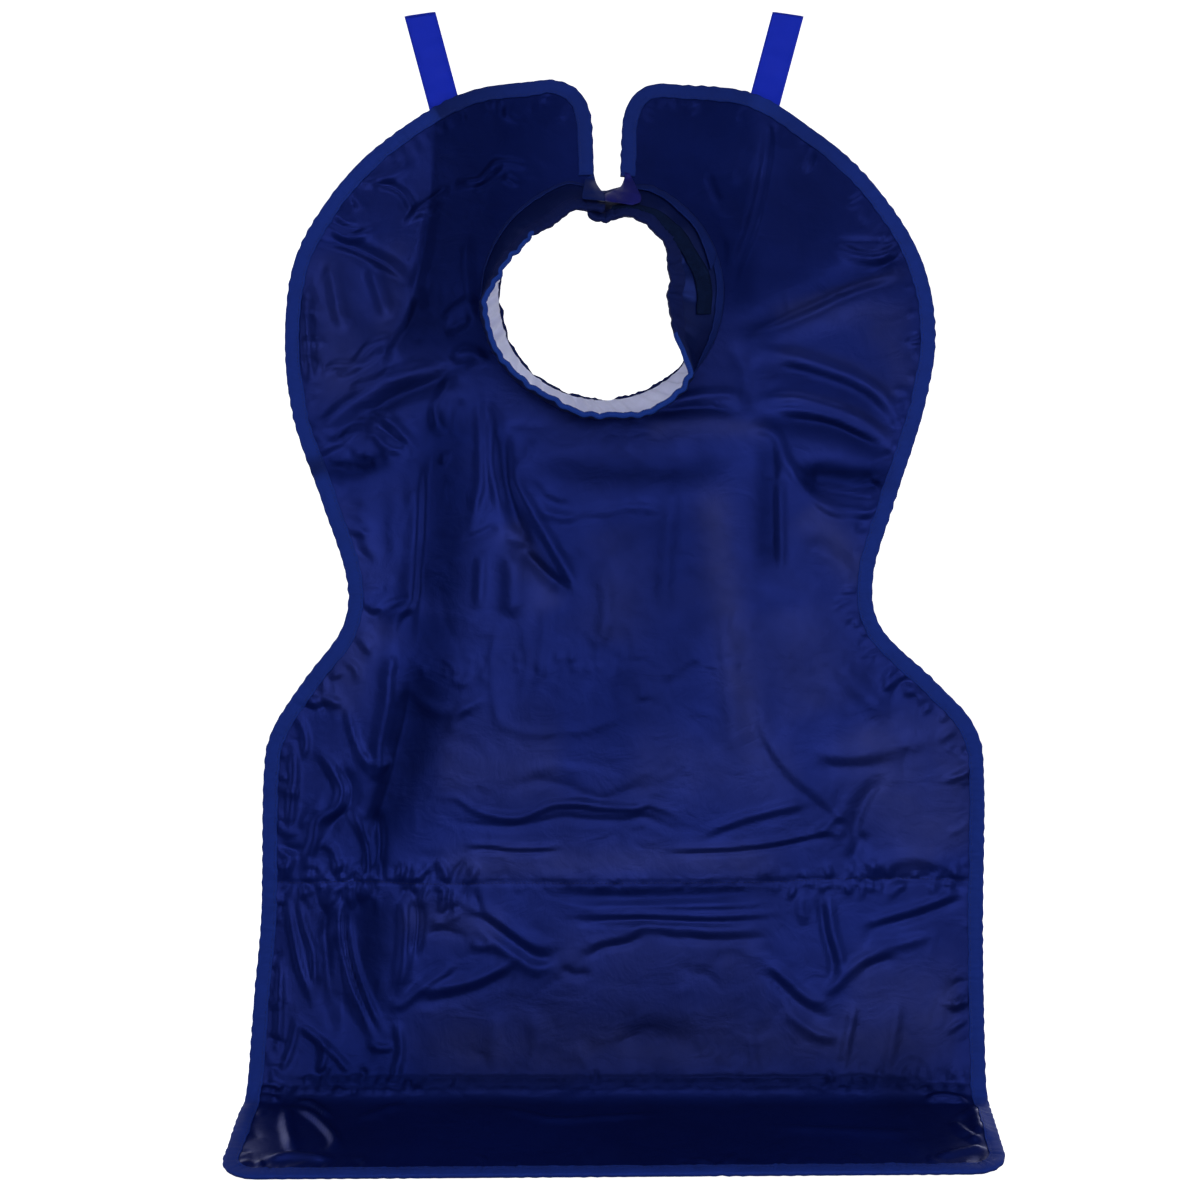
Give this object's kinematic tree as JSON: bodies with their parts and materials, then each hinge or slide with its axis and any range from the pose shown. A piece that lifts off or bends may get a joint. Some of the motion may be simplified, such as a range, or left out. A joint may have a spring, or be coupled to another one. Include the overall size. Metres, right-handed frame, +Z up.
{
  "type": "dental x-ray apron",
  "caption": "Bibbed radiation-shield apron with a stand-up neck collar closed by hook-and-loop tape, bound edges, a curled hem and ribbon loops to hang it by.",
  "frame": {"origin": "midway between the two points where the ribbon loops hang over their hooks", "axes": "+X to the right of a viewer facing the front, +Z up, and the front faces -Y"},
  "size_m": [0.6564, 0.2065, 1.0102],
  "materials": {
    "navy_coated_cloth": "semi-gloss coated nylon, navy blue",
    "royal_binding": "matte woven binding ribbon, royal navy",
    "bright_ribbon": "satin ribbon, bright blue",
    "white_lining": "soft matte white lining cloth",
    "closure_tape": "hook-and-loop tape, dark navy pile"
  },
  "bodies": {
    "root": {"body_panel": "navy_coated_cloth", "edge_binding": "royal_binding", "neckline_binding": "navy_coated_cloth", "collar_wall": "navy_coated_cloth", "collar_lining": "white_lining", "collar_binding": "royal_binding", "collar_foot_band": "royal_binding", "collar_loop_tape": "closure_tape", "collar_hook_tape": "closure_tape", "hanging_loop_left": "bright_ribbon", "hanging_loop_right": "bright_ribbon"}
  },
  "joints": []
}
